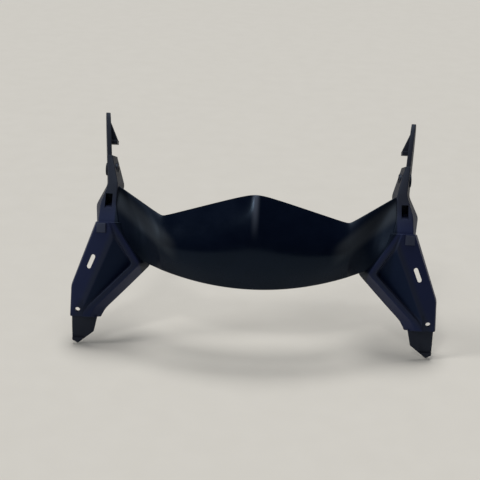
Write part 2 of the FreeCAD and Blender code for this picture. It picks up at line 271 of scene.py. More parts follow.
# %% [markdown]
# ## The wings
# Each wing leaves the panel, swings back and lands on the leg, turning over on its way. A cubic in r,
# the share of the way across the wing, is fixed by a height and a slope at each end, so it can leave
# the panel smoothly near the top and with a crease lower down. A dip between its ends makes the hollow.

# %% Wings
ROOT_W = 4.0
FOLD_W = 21.0
WING_TURN = 8.0
WING_PAST = 1.05
BAND_FROM = 0.1
CREASE_FROM = 0.45
CREASE_TO = 0.9
CREASE_GAIN = 1.2
POCKET_DIP = 6.0
POCKET_LOW = 0.85


def wing_w(r, t):
    """A cubic from the panel's end to the root and the fold, less a dip of two squared sines."""
    start = panel_w(1.0, t)
    crease = smooth((t - CREASE_FROM) / (CREASE_TO - CREASE_FROM))
    start_slope = -(NOSE_W - PANEL_END_W) * ridge_power(t) * WING_WIDTH / PANEL_HALF
    start_slope = start_slope * (1.0 + CREASE_GAIN * crease)
    end = lerp(ROOT_W, FOLD_W, smooth((t - BAND_FROM) / (1.0 - BAND_FROM)))
    cubic = (
        (2 * r**3 - 3 * r**2 + 1) * start
        + (r**3 - 2 * r**2 + r) * start_slope
        + (3 * r**2 - 2 * r**3) * end
        - (r**3 - r**2) * WING_TURN
    )
    dip = np.sin(np.pi * r) * np.sin(np.pi * np.clip(t, 0.0, 1.0) ** POCKET_LOW)
    return cubic - POCKET_DIP * dip**2


def sheet_w(u, t):
    """The panel's height inside the notch and the wing's beyond it."""
    panel = panel_w(np.minimum(u / PANEL_HALF, 1.0), t)
    wing = wing_w(np.clip((u - PANEL_HALF) / WING_WIDTH, 0.0, WING_PAST), t)
    return np.where(u <= PANEL_HALF, panel, wing)


print("wing swings back", round(PANEL_END_W - ROOT_W, 1), "mm to the root of the arm")

# %% [markdown]
# ## A section with soft corners
# A mould leaves no knife edges. Each section across u is a closed loop: down the front, round the
# chin, up the back and over the lip, and every corner on the way is a short parabola through its two
# neighbours. Rounding in the section is exact and cheap, where a bevel on a finished mesh is neither.

# %% Sheet solid
EDGE = 0.8
LIP_DEPTH = 6.0
FRONT_POINTS = 46
BACK_POINTS = 36
BEND_POINTS = 5
SHEET_STATIONS = 281


def bend(before, corner, after, count=BEND_POINTS):
    """Points on the parabola that leaves `before`, aims at `corner` and arrives at `after`."""
    t = np.linspace(0.0, 1.0, count)[:, None]
    return (1 - t) ** 2 * before + 2 * t * (1 - t) * corner + t**2 * after


def sheet_rings(u):
    """One closed (v, w) loop for each u: front curve, chin edge, back curve and top lip."""
    across = np.abs(u)[:, None]
    top = top_edge(across)
    low = low_edge(across)
    inner = top - WALL

    def front(v):
        """The sheet's height at v, by its share of the way down."""
        return sheet_w(across, (top - v) / (top - low))

    def back(v):
        """The front less the wall, measured square to the front's slope."""
        above = np.minimum(v + WALL / 4, top)
        below = np.maximum(v - WALL / 4, low)
        slope = (front(above) - front(below)) / (above - below)
        return front(v) - WALL * np.hypot(1.0, slope)

    def point(v, w):
        """Two coordinates side by side."""
        return np.stack([v, w], axis=-1)

    def along(a, b):
        """The point one edge length from a towards b."""
        return a + (b - a) * EDGE / np.linalg.norm(b - a, axis=-1, keepdims=True)

    lip_w = front(top) - LIP_DEPTH
    chin_front = point(low, front(low))
    chin_back = point(low, back(low))
    lip_root = point(inner, back(inner))
    lip_inner = point(inner, lip_w)
    lip_outer = point(top, lip_w)
    crest = point(top, front(top))
    front_v = lerp(top - EDGE, low + EDGE, np.linspace(0.0, 1.0, FRONT_POINTS + 2)[1:-1])
    back_v = lerp(low + EDGE, inner - EDGE, np.linspace(0.0, 1.0, BACK_POINTS + 2)[1:-1])
    crest_under = point(top - EDGE, front(top - EDGE))
    chin_over = point(low + EDGE, front(low + EDGE))
    chin_behind = point(low + EDGE, back(low + EDGE))
    lip_under = point(inner - EDGE, back(inner - EDGE))
    loop = np.concatenate([
        bend(along(crest, lip_outer), crest, crest_under),
        point(front_v, front(front_v)),
        bend(chin_over, chin_front, along(chin_front, chin_back)),
        bend(along(chin_back, chin_front), chin_back, chin_behind),
        point(back_v, back(back_v)),
        bend(lip_under, lip_root, along(lip_root, lip_inner)),
        bend(along(lip_inner, lip_root), lip_inner, along(lip_inner, lip_outer)),
        bend(along(lip_outer, lip_inner), lip_outer, along(lip_outer, crest)),
    ], axis=1)
    stations = np.broadcast_to(u[:, None, None], loop.shape[:2] + (1,))
    return to_bike(np.concatenate([stations, loop], axis=-1))


sheet_end = ROOT_U + WALL / 2
skin = solid("surround_skin", sheet_rings(np.linspace(-sheet_end, sheet_end, SHEET_STATIONS)))
print("sheet has", len(skin.data.polygons), "faces")

# %% [markdown]
# ## Where the legs run
# Seen from the front, each leg splays out from the knee, under the arm, past the crotch, where its
# inner edge meets the wing, to the ankle and the foot. Straight lines between these few places set
# every edge of it, so one ramp through named places does the work of a drawn path.

# %% Leg places
KNEE_V = LEDGE_V - 15.5
BEND_V = CROTCH_V - 24.0
ANKLE_V = CROTCH_V - 46.0
FOOT_V = ANKLE_V - 9.0
KNEE_U = ROOT_U
CROTCH_U = KNEE_U - 17.0
CREASE_SPLAY = math.radians(22.5)
ANKLE_U = KNEE_U + (KNEE_V - ANKLE_V) * math.tan(CREASE_SPLAY)
SHIN_U = KNEE_U + 27.8
CALF_U = SHIN_U + 16.9
LEDGE_SHIFT = 5.3


def ramp(v, *knots):
    """Straight stretches between (v, value) knots, level beyond the ends."""
    places, values = zip(*sorted(knots))
    return np.interp(v, places, values)


print("leg runs from", LEDGE_V, "to", FOOT_V, "mm on the face")

# %% [markdown]
# ## The section of a leg
# Each leg is an open-backed channel: a flat strip outside, a sunk triangular panel, and a raised rim
# along the wing. Seven corners describe its section, and each corner's place is a ramp along the leg.
# Cutting the triangle out of a finished leg would leave its walls without the mould's draft.

# %% Leg section
BACK_W = -2.0
STRIP_W = 24.0
STRIP_FALL = 0.15
STRIP_TILT = 5.0
TRIANGLE_SINK = 11.0
TRIANGLE_EDGE = 2.0
TRIANGLE_BLUNT = 1.5
RIM_WIDTH = 7.0
RIM_STEP = 2.0
RIM_DROP = 1.0
OUTER_DRAFT = math.radians(12.0)
FOLD_DRAFT = 6.0
INNER_DRAFT = 24.0
FOOT_DRAFT = 37.0


def strip_w(v):
    """The strip's height, falling evenly down the leg."""
    return STRIP_W + STRIP_FALL * (v - KNEE_V)


def leg_corners(v):
    """The seven (u, w) corners of the leg's front at each height v, from outside to inside."""
    strip = strip_w(v)
    outer = np.minimum(lerp(SHIN_U, CALF_U, (v - KNEE_V) / (BEND_V - KNEE_V)), CALF_U)
    corner_w = strip - STRIP_TILT
    crease_line = lerp(KNEE_U, ANKLE_U, (v - KNEE_V) / (ANKLE_V - KNEE_V))
    foot_crease = lerp(KNEE_U, ANKLE_U, (FOOT_V - KNEE_V) / (ANKLE_V - KNEE_V))
    floor = ramp(
        v,
        (FOOT_V, foot_crease - TRIANGLE_BLUNT),
        (ANKLE_V, ANKLE_U - TRIANGLE_BLUNT),
        (CROTCH_V, CROTCH_U),
        (KNEE_V, KNEE_U - TRIANGLE_BLUNT),
        (LEDGE_V, KNEE_U - TRIANGLE_BLUNT + LEDGE_SHIFT),
    )
    crease = np.maximum(crease_line, floor + TRIANGLE_BLUNT)
    sink = ramp(
        v,
        (FOOT_V, TRIANGLE_EDGE / 2),
        (ANKLE_V, TRIANGLE_EDGE),
        (CROTCH_V, TRIANGLE_SINK),
        (KNEE_V, TRIANGLE_EDGE),
        (LEDGE_V, TRIANGLE_EDGE / 2),
    )
    rim_in = floor - RIM_STEP
    rim_out = rim_in - RIM_WIDTH
    rim_w = strip - RIM_DROP
    draft = np.radians(ramp(v, (ANKLE_V, FOOT_DRAFT), (CROTCH_V, INNER_DRAFT), (KNEE_V, FOLD_DRAFT)))
    inner_w = ramp(v, (CROTCH_V, BACK_W), (KNEE_V, ROOT_W))
    inner = rim_out - (rim_w - RIM_DROP - inner_w) * np.tan(draft)
    return np.stack([
        np.stack([outer, np.full_like(v, BACK_W)], axis=-1),
        np.stack([outer - (corner_w - BACK_W) * math.tan(OUTER_DRAFT), corner_w], axis=-1),
        np.stack([crease, strip], axis=-1),
        np.stack([floor, strip - sink], axis=-1),
        np.stack([rim_in, rim_w], axis=-1),
        np.stack([rim_out, rim_w - RIM_DROP], axis=-1),
        np.stack([inner, inner_w], axis=-1),
    ], axis=1)


print("leg's section at the knee", leg_corners(np.array([KNEE_V]))[0].round(1).tolist())

# %% [markdown]
# ## Sweeping a channel
# A channel is its section carried along v. The same sweep makes the solid leg, with no wall, and its
# core, drawn in by the wall and run on out of the open back. Averaging the section over a short window
# rounds its kinks, as a mould's radii do, and close to each end the section is drawn in along a quarter
# circle. A thickness added by a modifier would pinch in the narrow foot.

# %% Channel sweep
EASE = 2.5
EASE_STEPS = 7
STEP_V = 1.25
END_STEPS = 5
CORNER_ROUND = 1.2
CORNER_SHARE = 0.45
CORE_REACH = 4


def inset(path, amount):
    """Open (u, w) paths moved inwards by `amount`, with mitred corners."""
    run = np.diff(path, axis=1)
    run = run / np.linalg.norm(run, axis=-1, keepdims=True)
    normal = np.stack([-run[..., 1], run[..., 0]], axis=-1)
    before = np.concatenate([normal[:, :1], normal], axis=1)
    after = np.concatenate([normal, normal[:, -1:]], axis=1)
    share = amount / (1.0 + (before * after).sum(axis=-1, keepdims=True))
    return path + share * (before + after)


def run_on(path, reach):
    """Paths whose two ends run on by `reach`, out of the channel's open back."""
    first = path[:, :1] - path[:, 1:2]
    last = path[:, -1:] - path[:, -2:-1]
    first = path[:, :1] + first * reach / np.linalg.norm(first, axis=-1, keepdims=True)
    last = path[:, -1:] + last * reach / np.linalg.norm(last, axis=-1, keepdims=True)
    return np.concatenate([first, path[:, 1:-1], last], axis=1)


def rounded(path):
    """Paths whose inner corners are parabolas, a corner's round long or nearly half an edge."""
    corner = path[:, 1:-1]

    def towards_corner(other):
        """Where the parabola leaves the edge to a neighbouring corner."""
        run = other - corner
        length = np.linalg.norm(run, axis=-1, keepdims=True)
        return corner + run * np.minimum(CORNER_ROUND, CORNER_SHARE * length) / length

    before = towards_corner(path[:, :-2])
    after = towards_corner(path[:, 2:])
    arcs = bend(before[:, :, None], corner[:, :, None], after[:, :, None])
    return np.concatenate([path[:, :1], arcs.reshape(len(path), -1, 2), path[:, -1:]], axis=1)


def channel(corners_at, low, high, wall=0.0):
    """Rings of a channel between two heights, drawn in by its wall and eased at both ends."""
    turn = np.linspace(0.0, np.pi / 2, END_STEPS)
    rise = EDGE * (1.0 - np.cos(turn))
    drawn = EDGE * (1.0 - np.sin(turn))
    middle = np.linspace(low + EDGE, high - EDGE, int((high - low) / STEP_V))[1:-1]
    v = np.concatenate([low + rise, middle, (high - rise)[::-1]])
    amount = np.concatenate([drawn, np.zeros_like(middle), drawn[::-1]]) + wall
    shifts = np.linspace(-EASE, EASE, EASE_STEPS)
    path = np.mean([corners_at(v + shift) for shift in shifts], axis=0)
    path = rounded(run_on(inset(path, amount[:, None, None]), CORE_REACH * wall))
    height = np.broadcast_to(v[:, None], path.shape[:2])
    return to_bike(np.stack([path[..., 0], height, path[..., 1]], axis=-1))


leg_mass = channel(leg_corners, FOOT_V, LEDGE_V)
leg_core = channel(leg_corners, FOOT_V + WALL, LEDGE_V - WALL, WALL)
print("leg section has", leg_mass.shape[1], "points, in", leg_mass.shape[0], "rings")

# %% [markdown]
# ## Necks and arms
# From the ledge on top of each leg the channel runs on upwards, past the root of the wing, and
# narrows back into a thin arm. Four sections set it, and the sweep fills in between them. A curve with
# a bevel could follow the arm too, but it can't change from one section to another.

# %% Neck and arm channel
NECK_V = LEDGE_V + 17.5
NECK_TOP = ROOT_V + 2.0
ARM_V = NECK_TOP + 29.0
NECK_U = ROOT_U + 24.0
NECK_BEVEL = 8.5
NECK_W = 15.5
NECK_BACK_W = -12.0
ARM_WIDTH = 16.5
ARM_WALL = 2.0
ARM_FACE = 5.0
ARM_FRONT_W = 8.5
ARM_END_W = -4.0
ARM_BACK_W = -30.0
ARM_TOE = math.radians(10.2)
ARM_LEAN = math.radians(3.5)
STEP_IN = WALL / 2


def arm_u(v, w):
    """The plane of the arm's outer face, leaning out up the arm and toeing in to the front."""
    lean = (v - ROOT_V) * math.tan(ARM_LEAN)
    return ROOT_U + ARM_WIDTH + lean - (w - ARM_BACK_W) * math.tan(ARM_TOE)


face_u = arm_u(ARM_V, ARM_END_W) - ARM_FACE
ledge_outer, ledge_corner, *_, ledge_rim, ledge_inner = leg_corners(np.array([LEDGE_V]))[0]
neck_sections = np.array([
    [
        ledge_outer + (-STEP_IN, 0.0),
        ledge_corner + (-STEP_IN, -STEP_IN),
        ledge_rim + (STEP_IN, -STEP_IN),
        ledge_inner + (STEP_IN, -STEP_IN),
    ],
    [
        (NECK_U, NECK_BACK_W),
        (NECK_U - NECK_BEVEL, NECK_W),
        (ROOT_U, NECK_W),
        (ROOT_U - STEP_IN / 2, NECK_BACK_W + STEP_IN),
    ],
    [
        (arm_u(NECK_TOP, ARM_BACK_W), ARM_BACK_W),
        (arm_u(NECK_TOP, ARM_FRONT_W), ARM_FRONT_W),
        (ROOT_U, ARM_FRONT_W + STEP_IN),
        (ROOT_U - STEP_IN, ARM_BACK_W + STEP_IN),
    ],
    [
        (arm_u(ARM_V, ARM_BACK_W), ARM_BACK_W),
        (arm_u(ARM_V, ARM_END_W), ARM_END_W),
        (face_u, ARM_END_W),
        (face_u - STEP_IN, ARM_BACK_W + STEP_IN),
    ],
])


def neck_corners(v):
    """The four (u, w) corners at each height v, straight between the four sections."""
    heights = (LEDGE_V, NECK_V, NECK_TOP, ARM_V)
    columns = neck_sections.reshape(4, -1).T
    return np.stack([np.interp(v, heights, column) for column in columns], axis=-1).reshape(-1, 4, 2)


neck_mass = channel(neck_corners, LEDGE_V - WALL / 2, ARM_V)
neck_core = channel(neck_corners, LEDGE_V - 2 * WALL, ARM_V - ARM_WALL, ARM_WALL)
print("arm channel ends at", round(to_bike((face_u, ARM_V, ARM_END_W))[2], 4), "m")

# %% [markdown]
# ## Joining solids
# The pieces of a moulding have no seams. A Boolean joins or cuts closed solids for good, and the
# Manifold solver is made for meshes as clean as these rings.


# %% Boolean steps
def shape_by(base, operation, other):
    """Joins, cuts or keeps the overlap of two closed meshes, and drops the second one."""
    modifier = base.modifiers.new(operation.lower(), "BOOLEAN")
    modifier.operation = operation
    modifier.object = other
    modifier.solver = "MANIFOLD"
    graph = bpy.context.evaluated_depsgraph_get()
    result = bpy.data.meshes.new_from_object(base.evaluated_get(graph))
    base.modifiers.clear()
    spent = base.data
    base.data = result
    bpy.data.meshes.remove(spent)
    bpy.data.meshes.remove(other.data)
    print(operation.lower(), "leaves", len(result.polygons), "faces")


shape_by(skin, "UNION", both_sides("legs", leg_mass))
shape_by(skin, "UNION", both_sides("necks", neck_mass))
shape_by(skin, "DIFFERENCE", both_sides("leg_cores", leg_core))
shape_by(skin, "DIFFERENCE", both_sides("neck_cores", neck_core))

# %% [markdown]
# ## Plates with soft edges
# The small features are plates: one outline, repeated through its thickness and drawn in along a
# quarter circle at both faces. A cube or cylinder with a Bevel modifier would need one object and one
# set of settings for each of them.

# %% Plates
PLATE_EDGE = 0.6
ROUND_POINTS = 48


def plate(outline, thickness, edge=PLATE_EDGE):
    """Rings of a plate: its outline carried along the thickness, drawn in towards both faces."""
    outline = np.asarray(outline, float)
    depth = np.linalg.norm(thickness)
    through = np.asarray(thickness, float) / depth
    after = np.roll(outline, -1, axis=0) - outline
    after = np.cross(through, after / np.linalg.norm(after, axis=-1, keepdims=True))
    after = after / np.linalg.norm(after, axis=-1, keepdims=True)
    before = np.roll(after, 1, axis=0)
    inwards = (before + after) / (1.0 + (before * after).sum(axis=-1, keepdims=True))
    inwards *= np.sign(((outline.mean(axis=0) - outline) * inwards).sum())
    turn = np.linspace(0.0, np.pi / 2, END_STEPS)
    drawn = (edge * (1.0 - np.sin(turn)))[:, None, None] * inwards
    sunk = (edge * (1.0 - np.cos(turn)))[:, None, None] * through
    return np.concatenate([outline + drawn + sunk, (outline + thickness + drawn - sunk)[::-1]])


def disc(middle, radius, axis):
    """An outline of points round a circle about an axis."""
    turn = np.linspace(0.0, 2 * np.pi, ROUND_POINTS, endpoint=False)[:, None]
    axis = Vector(axis)
    side = np.array(axis.orthogonal().normalized())
    other = np.cross(np.array(axis.normalized()), side)
    return np.asarray(middle) + radius * (np.cos(turn) * side + np.sin(turn) * other)


print("plate tools ready")

# %% [markdown]
# ## Blades
# Above each arm only its outer wall goes on, as a thin blade that narrows to a blunt tip. Its outline
# lies on the plane of the arm's outer face. One parabola makes the back edge, so the blade needs only
# its heel, its bow, its tip and its shoulder, where a drawn outline would need many points.

# %% Blades
TIP_V = ARM_V + 44.0
TIP_W = -19.0
BLADE_WALL = 4.5
BLADE_SUNK = 0.06
BLADE_START = ARM_V - 6.0
BLADE_POINTS = 14
HEEL_UP = 0.6
BOW_UP = 0.9
BOW_OUT = 0.4
SHOULDER_UP = 0.85
SHOULDER_OUT = 0.7

heel = np.array((lerp(ARM_V, TIP_V, HEEL_UP), ARM_BACK_W))
bow = np.array((lerp(ARM_V, TIP_V, BOW_UP), lerp(ARM_BACK_W, TIP_W, BOW_OUT)))
tip = np.array((TIP_V, TIP_W))
back_edge = bend(heel, 2.0 * bow - (heel + tip) / 2.0, tip, BLADE_POINTS)
front_edge = [
    (lerp(ARM_V, TIP_V, SHOULDER_UP), lerp(ARM_END_W, TIP_W, SHOULDER_OUT)),
    (ARM_V, ARM_END_W),
    (BLADE_START, ARM_END_W),
    (BLADE_START, ARM_BACK_W),
]
blade_vw = np.concatenate([back_edge, front_edge])
blade_u = arm_u(blade_vw[:, 0], blade_vw[:, 1]) - BLADE_SUNK
blade = plate(np.column_stack([blade_u, blade_vw]), (-BLADE_WALL, 0.0, 0.0))
shape_by(skin, "UNION", both_sides("blades", to_bike(blade)))

# %% [markdown]
# ## Hooks
# Inside each blade sits a small hook: a level shelf, and a web that props it up from above. Both are
# plates at right angles to the blade, sunk into it so that they join. One bent plate would need a fold
# where two straight ones need none.

# %% Hooks
HOOK_V = ARM_V + 14.0
HOOK_REACH = 5.5
HOOK_WALL = 4.0
HOOK_DEPTH = 12.0
HOOK_TOP = TIP_V - 10.0
WEB_EDGE = 0.4
SHELF_EDGE = 0.5

hook_u = arm_u(HOOK_V, BORE_W) - BLADE_WALL - HOOK_REACH
hook_in = arm_u(HOOK_V, TIP_W) - BLADE_WALL / 2
hook_low = HOOK_V - HOOK_WALL / 2
hook_high = HOOK_V + HOOK_WALL / 2
web_u = arm_u(HOOK_TOP, TIP_W) - BLADE_WALL
web_outline = [
    (hook_in, hook_low),
    (hook_u, hook_low),
    (hook_u, hook_high),
    (web_u, HOOK_TOP),
    (web_u + BLADE_WALL / 2, HOOK_TOP),
]
web = plate([(u, v, TIP_W) for u, v in web_outline], (0.0, 0.0, -HOOK_WALL), WEB_EDGE)
shelf_w = TIP_W + HOOK_WALL
shelf_outline = [
    (hook_in, hook_low, shelf_w),
    (hook_u, hook_low, shelf_w),
    (hook_u, hook_high, shelf_w),
    (hook_in, hook_high, shelf_w),
]
shelf = plate(shelf_outline, (0.0, 0.0, -HOOK_DEPTH), SHELF_EDGE)
shape_by(skin, "UNION", both_sides("hook_webs", to_bike(web)))
shape_by(skin, "UNION", both_sides("hook_shelves", to_bike(shelf)))

# %% [markdown]
# ## Bore tubes
# A short tube through each arm will carry the mounting bore, and stands a little proud at both ends. It
# is a disc carried along the bore's axis. The bore itself is cut last, when everything else is joined.

# %% Bore tubes
BORE_R = 3.25
BORE_WALL = 3.2
BORE_NUB = 1.5
BORE_RING = 1.0
TUBE_EDGE = 0.5
BORE_AXIS = (1, 0, 0)

bore_out = arm_u(BORE_V, BORE_W) + BORE_RING
bore_in = lerp(ROOT_U, face_u, (BORE_V - NECK_TOP) / (ARM_V - NECK_TOP)) - BORE_NUB
bore_length = bore_out - bore_in
tube_outline = disc((bore_in, BORE_V, BORE_W), BORE_R + BORE_WALL, BORE_AXIS)
tube = plate(tube_outline, (bore_length, 0.0, 0.0), TUBE_EDGE)
shape_by(skin, "UNION", both_sides("bore_tubes", to_bike(tube)))

# %% [markdown]
# ## Tabs
# A flat tab hangs under each foot and slips behind the next panel of the bike. It is one plate whose
# outline falls away backwards, so five corners are enough.

# %% Tabs
TAB_WALL = 3.0
TAB_W = 5.0
TAB_FALL = 0.27
TAB_LENGTH = 27.5
TAB_INNER_LENGTH = 15.0
TAB_INNER_U = CALF_U - 24.7
TAB_TOE_U = CALF_U - 8.7
TAB_TOE_RISE = 3.0

_, foot_corner, *_, foot_inner = leg_corners(np.array([FOOT_V]))[0]
tab_out = foot_corner[0] - WALL / 2
tab_outline = [
    (foot_inner[0] + WALL, FOOT_V + WALL / 2),
    (TAB_INNER_U, FOOT_V - TAB_INNER_LENGTH),
    (TAB_TOE_U, FOOT_V - TAB_LENGTH),
    (tab_out, FOOT_V - TAB_LENGTH + TAB_TOE_RISE),
    (tab_out, FOOT_V + WALL / 2),
]
tab_face = [(u, v, TAB_W + TAB_FALL * (v - FOOT_V)) for u, v in tab_outline]
tab = plate(tab_face, (0.0, 0.0, -TAB_WALL))
shape_by(skin, "UNION", both_sides("tabs", to_bike(tab)))

# %% [markdown]
# ## Pads
# A low square pad sits on each strip, just under the ledge. Its four corners follow the strip's slope
# and stand proud of it by the same height, so the pad stays level with the strip.

# %% Pads
PAD_SIZE = 9.5
PAD_RAISE = 1.2
PAD_ACROSS = 0.58

pad_top = LEDGE_V - STEP_IN
pad_low = pad_top - PAD_SIZE
pad_v = (pad_low + pad_top) / 2
_, pad_corner, pad_crease = leg_corners(np.array([pad_v]))[0][:3]
pad_u = lerp(pad_crease[0], pad_corner[0], PAD_ACROSS)
pad_in = pad_u - PAD_SIZE / 2
pad_out = pad_u + PAD_SIZE / 2


def strip_at(u, v):
    """The strip's height between its crease and its outer corner."""
    _, corner, crease = leg_corners(np.array([v]))[0][:3]
    return lerp(crease[1], corner[1], (u - crease[0]) / (corner[0] - crease[0]))


pad_outline = [(pad_in, pad_low), (pad_out, pad_low), (pad_out, pad_top), (pad_in, pad_top)]
pad_face = [(u, v, strip_at(u, v) + PAD_RAISE) for u, v in pad_outline]
pad = plate(pad_face, (0.0, 0.0, -PAD_RAISE - WALL / 2))
shape_by(skin, "UNION", both_sides("pads", to_bike(pad)))

# %% [markdown]
# ## Screw seats
# Each foot is faced off upright, square to the bike, with a floor behind the face for a screw. Both are
# plain boxes in the bike's own directions. The floor is kept to the leg by taking only its overlap with
# the solid leg, so it needs no outline of its own.

# %% Screw seats
SEAT_V = FOOT_V + 23.0
SEAT_WALL = 3.0 * MM
PAST = 20.0


def box(low, high):
    """Two square rings in metres, at the near and the far side of a box given in metres."""
    (x0, y0, z0), (x1, y1, z1) = low, high
    return np.array([[(x0, y, z0), (x1, y, z0), (x1, y, z1), (x0, y, z1)] for y in (y0, y1)])


seat_x, seat_y, seat_z = to_bike((ANKLE_U, SEAT_V, strip_w(SEAT_V)))
seat_high = seat_z + PAST * MM
seat_low = to_bike((ANKLE_U, FOOT_V, BACK_W))[2] - PAST * MM
seat_out = (CALF_U + PAST) * MM
facing = box((seat_x, seat_y - 2 * PAST * MM, seat_low), (seat_out, seat_y, seat_high))
floor_box = box((seat_x - WALL * MM, seat_y, seat_low), (seat_out, seat_y + SEAT_WALL, seat_high))
shape_by(skin, "DIFFERENCE", both_sides("seat_facings", facing))
seat_floor = both_sides("seat_floors", leg_mass)
shape_by(seat_floor, "INTERSECT", both_sides("seat_boxes", floor_box))
shape_by(skin, "UNION", seat_floor)

# %% [markdown]
# ## Clip sockets
# In each neck a blind socket takes a clip. A block, kept to the neck by its overlap with the solid neck,
# is joined first, and a smaller box then hollows it, which leaves an even wall round the socket.

# %% Clip sockets
SOCKET_WIDTH = 7.0
SOCKET_HEIGHT = 12.0
SOCKET_DEPTH = 9.0
SOCKET_RISE = 3.0

socket_u = ROOT_U + (NECK_U - NECK_BEVEL - ROOT_U) / 2
socket_at = to_bike((socket_u, NECK_V + SOCKET_RISE, NECK_W))
half = np.array((SOCKET_WIDTH / 2, SOCKET_DEPTH + SOCKET_HEIGHT / 2, SOCKET_HEIGHT / 2)) * MM
around = half + ARM_WALL * MM
mouth = np.array((0.0, PAST, 0.0)) * MM
socket_block = both_sides("socket_blocks", neck_mass)
socket_boxes = both_sides("socket_boxes", box(socket_at - around, socket_at + around))
shape_by(socket_block, "INTERSECT", socket_boxes)
shape_by(skin, "UNION", socket_block)
sockets = both_sides("sockets", box(socket_at - half - mouth, socket_at + half))
shape_by(skin, "DIFFERENCE", sockets)

# %% [markdown]
# ## Holes
# The screw holes, the arm bores and the slots are cut last, straight through all that was joined. A
# slot is a circle pulled apart along the leg's crease. Each cutter reaches well past the wall, because
# faces that only just meet would leave a Boolean in doubt.

# %% Holes
SCREW_V = FOOT_V + 7.0
SCREW_U = CALF_U - 9.2
SCREW_R = 2.5 * MM
SCREW_EDGE = 0.1 * MM
SCREW_AXIS = (0, 1, 0)
SLOT_LENGTH = 15.0
SLOT_WIDTH = 4.5
SLOT_FROM_CREASE = 11.5
SLOT_DROP = 31.0

screw_w = strip_w(SEAT_V) - (SEAT_V - SCREW_V) * math.tan(RAKE)
screw_at = to_bike((SCREW_U, SCREW_V, screw_w))
screw = plate(disc(screw_at - mouth, SCREW_R, SCREW_AXIS), 2 * mouth, SCREW_EDGE)
bore_outline = disc((bore_in - PAST, BORE_V, BORE_W), BORE_R, BORE_AXIS)
bore = plate(bore_outline, (bore_length + 2 * PAST, 0.0, 0.0))

straight = (SLOT_LENGTH - SLOT_WIDTH) / 2
turn = np.linspace(0.0, np.pi, ROUND_POINTS // 2)
ends = np.concatenate([turn, turn + np.pi])
shift = np.repeat((straight, -straight), len(turn))
slot_u = SLOT_FROM_CREASE + SLOT_WIDTH / 2 * np.cos(ends)
slot_v = -SLOT_DROP + SLOT_WIDTH / 2 * np.sin(ends) + shift
slot_outline = np.column_stack([
    KNEE_U + slot_u * math.cos(CREASE_SPLAY) - slot_v * math.sin(CREASE_SPLAY),
    KNEE_V + slot_u * math.sin(CREASE_SPLAY) + slot_v * math.cos(CREASE_SPLAY),
    np.full(len(ends), STRIP_W + PAST),
])
slot = plate(slot_outline, (0.0, 0.0, -STRIP_W - PAST))
shape_by(skin, "DIFFERENCE", both_sides("screw_holes", screw))
shape_by(skin, "DIFFERENCE", both_sides("bores", to_bike(bore)))
shape_by(skin, "DIFFERENCE", both_sides("slots", to_bike(slot)))

# %% [markdown]
# ## One small language for shaders
# A shader is a graph, but its maths reads best as an expression. This class wraps one socket of the
# graph. The usual operators add Math nodes, so `1 - mask` is a node too, and `node` adds any other.
# Building the graph by hand in the node editor would work as well, but it can't be read as text.


# %% Sockets that read as numbers
class Wire:
    """A socket of a material's node tree, with operators that add Math nodes."""

    def __init__(self, tree, socket):
        self.tree = tree
        self.socket = socket

    def feed(self, socket, value):
        """Links a wire to a socket, or sets the socket to a plain value."""
        if isinstance(value, Wire):
            self.tree.links.new(value.socket, socket)
        else:
            socket.default_value = value

    def node(self, kind, settings=None, **inputs):
        """Adds a node: its settings are set first, then the values or links of its sockets."""
        made = self.tree.nodes.new(kind)
        for name, value in (settings or {}).items():
            if name == "stops":
                set_stops(made.color_ramp, value)
            else:
                setattr(made, name, value)
        for name, value in inputs.items():
            self.feed(find_socket(made, name), value)
        return made

    def out(self, made, name=0):
        """A wire from one output of a node."""
        return Wire(self.tree, made.outputs[name])

    def math(self, operation, *values):
        """A wire from a Math node that takes wires or numbers."""
        made = self.node("ShaderNodeMath", {"operation": operation})
        for socket, value in zip(made.inputs, values):
            self.feed(socket, value)
        return self.out(made)

    def __abs__(self):
        return self.math("ABSOLUTE", self)

    def __add__(self, other):
        return self.math("ADD", self, other)

    def __radd__(self, other):
        return self.math("ADD", other, self)

    def __sub__(self, other):
        return self.math("SUBTRACT", self, other)

    def __rsub__(self, other):
        return self.math("SUBTRACT", other, self)

    def __mul__(self, other):
        return self.math("MULTIPLY", self, other)

    def __rmul__(self, other):
        return self.math("MULTIPLY", other, self)


def find_socket(made, name):
    """The input called `name`, where an underscore stands for a space."""
    plain = name.replace("_", " ").lower()
    return next(s for s in made.inputs if s.name.lower() == plain and s.enabled)


def set_stops(ramp, stops):
    """Gives a colour ramp its stops, each a place and a grey level."""
    while len(ramp.elements) < len(stops):
        ramp.elements.new(1.0)
    for element, (place, grey) in zip(ramp.elements, stops):
        element.position = place
        element.color = (grey, grey, grey, 1.0)


print("shader wires ready")

# %% [markdown]
# ## Words of that language
# A few words are used again and again: the smaller or larger of two values, a mix of two colours, and
# noise. Colours go through a Mix node, because a Math node would turn them grey.


# %% Shader helpers
def least(a, b):
    """The smaller of two wires."""
    return a.math("MINIMUM", a, b)


def most(a, b):
    """The larger of two wires."""
    return a.math("MAXIMUM", a, b)


def mixed(share, a, b):
    """A colour between two others, by a share from 0 to 1."""
    return share.out(share.node(
        "ShaderNodeMix", {"data_type": "RGBA"}, Factor=share, A=a, B=b), "Result")


def noise(place, **settings):
    """Soft patches from 0 to 1, by their number to the metre and their detail."""
    return place.out(place.node("ShaderNodeTexNoise", Vector=place, **settings))


def new_material(name):
    """A material with one Principled shader, and a wire to its Object coordinates."""
    material = bpy.data.materials.new(name)
    material.use_nodes = True
    tree = material.node_tree
    shader = tree.nodes["Principled BSDF"]
    coordinates = tree.nodes.new("ShaderNodeTexCoord")
    return material, shader, Wire(tree, coordinates.outputs["Object"])


print("shader helpers ready")

